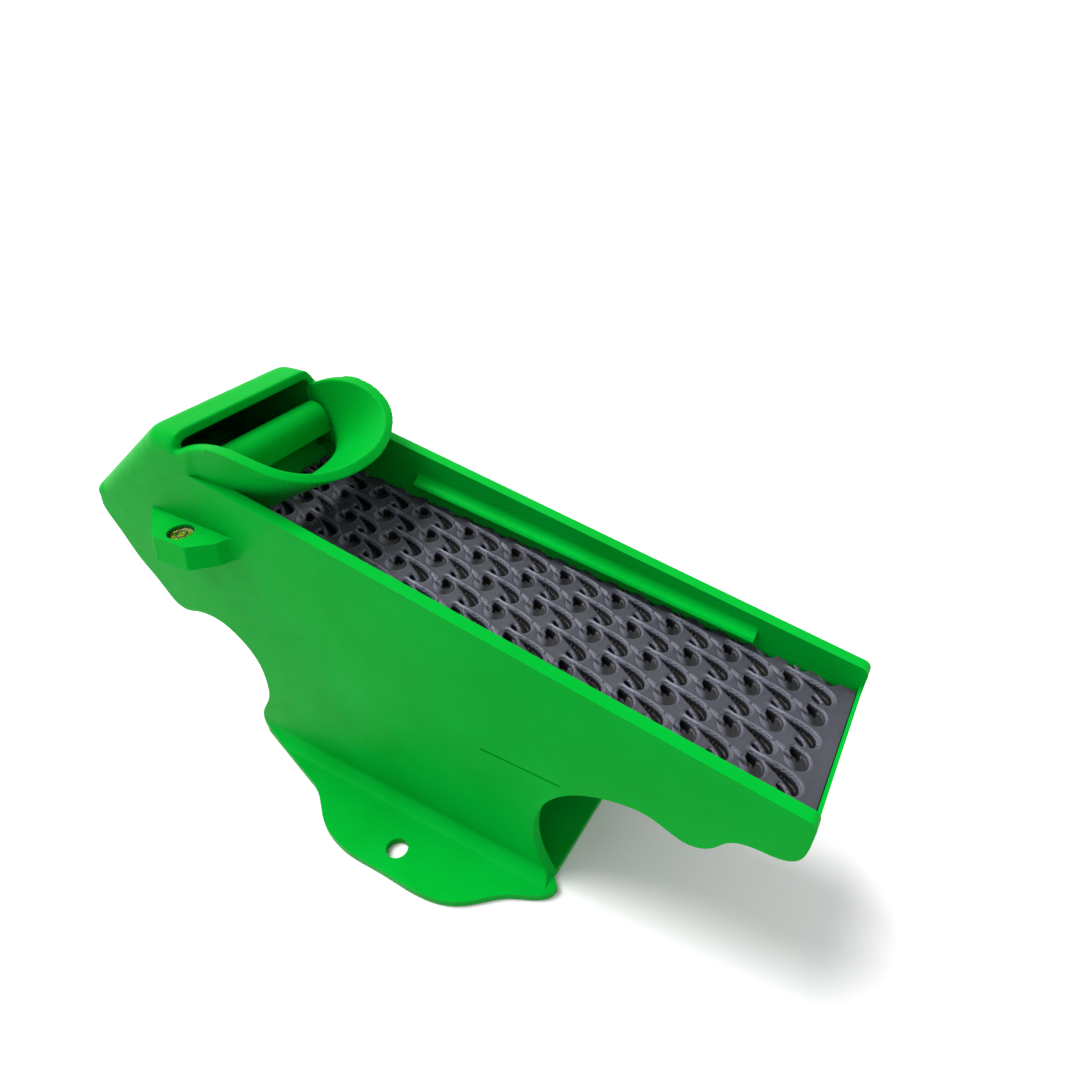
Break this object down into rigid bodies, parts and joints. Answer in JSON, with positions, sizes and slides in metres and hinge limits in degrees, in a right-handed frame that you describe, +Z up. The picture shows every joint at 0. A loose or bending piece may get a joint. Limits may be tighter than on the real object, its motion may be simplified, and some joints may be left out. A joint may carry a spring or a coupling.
{
  "type": "mini recirculating sluice",
  "caption": "Tabletop recirculating sluice: sloping riffle-mat trough with side rails, header hood with flared feed hopper, lobed foot flanges, bullseye level, and a pump beneath.",
  "frame": {"origin": "on the ground under the middle of the overall length, on the centre plane", "axes": "+X down the sluice to its tail, +Z up, the level shelf on the -Y side"},
  "size_m": [0.3742, 0.1672, 0.202],
  "materials": {
    "green_plastic": "satin moulded",
    "mat_rubber": "matt",
    "level_black": "gloss",
    "level_clear": "clear",
    "level_fluid": "liquid",
    "pump_black": "satin",
    "motor_steel": "laminated",
    "motor_copper": "enamelled wire",
    "magnet_ferrite": "matt",
    "impeller_white": "satin",
    "ceramic_white": "polished",
    "soft_rubber": "matt",
    "hose_vinyl": "soft vinyl",
    "clip_steel": "spring steel",
    "fitting_black": "satin"
  },
  "bodies": {
    "sluice": {"sluice_body": "green_plastic", "header_hood": "green_plastic", "weir_bar": "green_plastic", "level_case": "level_black", "level_lens": "level_clear", "level_fluid": "level_fluid", "level_ring": "level_black", "pump_housing": "pump_black", "pump_outlet_spigot": "pump_black", "pump_core": "motor_steel", "pump_coil": "motor_copper", "pump_shaft": "ceramic_white", "rear_shaft_bush": "soft_rubber", "pump_chamber_cover": "pump_black", "front_shaft_bush": "soft_rubber", "pump_seal_ring": "soft_rubber", "pump_intake_cover": "pump_black", "pump_suction_feet": "soft_rubber", "pump_cable_gland": "soft_rubber", "inlet_fitting": "fitting_black", "inlet_washer": "soft_rubber", "inlet_nut": "fitting_black", "delivery_hose": "hose_vinyl", "hose_clips": "clip_steel"},
    "mat": {"riffle_mat": "mat_rubber"},
    "rotor": {"pump_magnet": "magnet_ferrite", "pump_impeller": "impeller_white"},
    "flow_dial": {"pump_flow_dial": "pump_black"}
  },
  "joints": [
    {"name": "mat_slide", "type": "slide", "parent": "sluice", "child": "mat", "axis": [0.9921, 0, -0.1252], "range_m": [0, 0.292], "deforming": ["riffle_mat"]},
    {"name": "impeller_spin", "type": "hinge", "parent": "sluice", "child": "rotor", "pos_m": [-0.055, 0, 0.0274], "axis": [1, 0, 0], "continuous": true},
    {"name": "flow_dial_turn", "type": "hinge", "parent": "sluice", "child": "flow_dial", "pos_m": [-0.023, 0, 0.0274], "axis": [1, 0, 0], "range_deg": [0, 90]}
  ]
}
